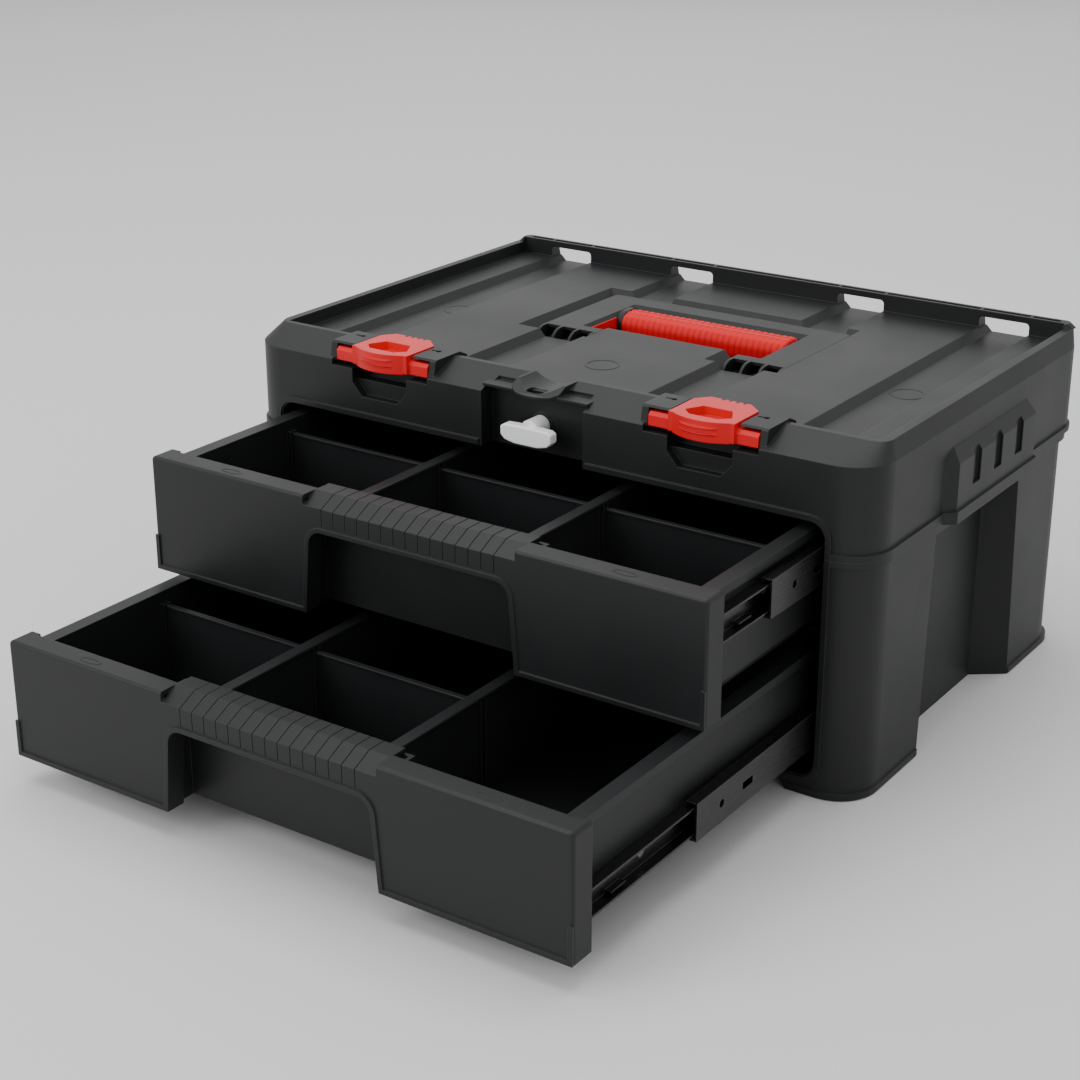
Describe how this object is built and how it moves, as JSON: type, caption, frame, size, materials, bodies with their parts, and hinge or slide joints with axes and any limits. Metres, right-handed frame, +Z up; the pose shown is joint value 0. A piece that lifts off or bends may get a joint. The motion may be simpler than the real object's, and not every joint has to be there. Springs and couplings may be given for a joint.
{
  "type": "tool box with drawers",
  "caption": "Low plastic tool box module with pull-out drawers on slides, divided trays, fold-down carry handle, top latches and a turn lock.",
  "frame": {"origin": "centre of the body's footprint, on the floor", "axes": "+Z up, -Y is the side where the drawers come out, +X to the right of someone who faces the drawers"},
  "size_m": [0.4972, 0.5956, 0.2315],
  "materials": {
    "casing_plastic": "fine grained",
    "drawer_plastic": "fine grained",
    "divider_plastic": "satin",
    "red_plastic": "satin",
    "red_rubber": "satin",
    "white_plastic": "semi gloss",
    "slide_steel": "semi gloss",
    "bright_steel": "zinc plated"
  },
  "bodies": {
    "casing": {"lower_casing": "casing_plastic", "top_housing": "casing_plastic", "joint_screws": "bright_steel", "latch_pin_left": "bright_steel", "latch_pin_right": "bright_steel", "handle_pins": "bright_steel", "lower_left_slide_fixed_rail": "slide_steel", "lower_right_slide_fixed_rail": "slide_steel", "lower_rail_screws_casing": "bright_steel", "upper_left_slide_fixed_rail": "slide_steel", "upper_right_slide_fixed_rail": "slide_steel", "upper_rail_screws_casing": "bright_steel"},
    "lower_drawer": {"lower_drawer_front": "drawer_plastic", "lower_drawer_tray": "drawer_plastic", "lower_drawer_front_screws": "bright_steel", "lower_long_divider_left": "divider_plastic", "lower_long_divider_right": "divider_plastic", "lower_rail_screws_drawer": "bright_steel", "lower_cross_divider_left": "divider_plastic", "lower_cross_divider_middle": "divider_plastic", "lower_left_slide_drawer_rail": "slide_steel", "lower_right_slide_drawer_rail": "slide_steel"},
    "lower_middle_rails": {"lower_left_slide_middle_rail": "slide_steel", "lower_right_slide_middle_rail": "slide_steel"},
    "upper_drawer": {"upper_drawer_front": "drawer_plastic", "upper_drawer_tray": "drawer_plastic", "upper_drawer_front_screws": "bright_steel", "upper_long_divider_left": "divider_plastic", "upper_long_divider_right": "divider_plastic", "upper_rail_screws_drawer": "bright_steel", "upper_cross_divider_left": "divider_plastic", "upper_cross_divider_middle": "divider_plastic", "upper_cross_divider_right": "divider_plastic", "upper_left_slide_drawer_rail": "slide_steel", "upper_right_slide_drawer_rail": "slide_steel"},
    "upper_middle_rails": {"upper_left_slide_middle_rail": "slide_steel", "upper_right_slide_middle_rail": "slide_steel"},
    "latch_left": {"latch_left": "red_plastic"},
    "latch_right": {"latch_right": "red_plastic"},
    "handle": {"handle_frame": "casing_plastic", "handle_grip": "red_rubber"},
    "lock": {"lock_knob": "white_plastic", "lock_spindle": "slide_steel"}
  },
  "joints": [
    {"name": "lower_drawer_slide", "type": "slide", "parent": "casing", "child": "lower_drawer", "axis": [0, -1, 0], "range_m": [-0.261, 0.014]},
    {"name": "lower_middle_rail_slide", "type": "slide", "parent": "casing", "child": "lower_middle_rails", "axis": [0, -1, 0], "range_m": [-0.1566, 0.0084]},
    {"name": "upper_drawer_slide", "type": "slide", "parent": "casing", "child": "upper_drawer", "axis": [0, -1, 0], "range_m": [-0.131, 0.144]},
    {"name": "upper_middle_rail_slide", "type": "slide", "parent": "casing", "child": "upper_middle_rails", "axis": [0, -1, 0], "range_m": [-0.0786, 0.0864]},
    {"name": "latch_left_hinge", "type": "hinge", "parent": "casing", "child": "latch_left", "pos_m": [-0.124, -0.158, 0.222], "axis": [1, 0, 0], "range_deg": [0, 90]},
    {"name": "latch_right_hinge", "type": "hinge", "parent": "casing", "child": "latch_right", "pos_m": [0.124, -0.158, 0.222], "axis": [1, 0, 0], "range_deg": [0, 90]},
    {"name": "handle_hinge", "type": "hinge", "parent": "casing", "child": "handle", "pos_m": [0.0015, -0.014, 0.207], "axis": [1, 0, 0], "range_deg": [0, 90]},
    {"name": "lock_turn", "type": "hinge", "parent": "casing", "child": "lock", "pos_m": [0, -0.166, 0.1993], "axis": [0, 1, 0], "range_deg": [0, 90]}
  ],
  "couplings": [
    {"joint": "lower_middle_rail_slide", "follows": "lower_drawer_slide", "ratio": 0.6},
    {"joint": "upper_middle_rail_slide", "follows": "upper_drawer_slide", "ratio": 0.6}
  ]
}
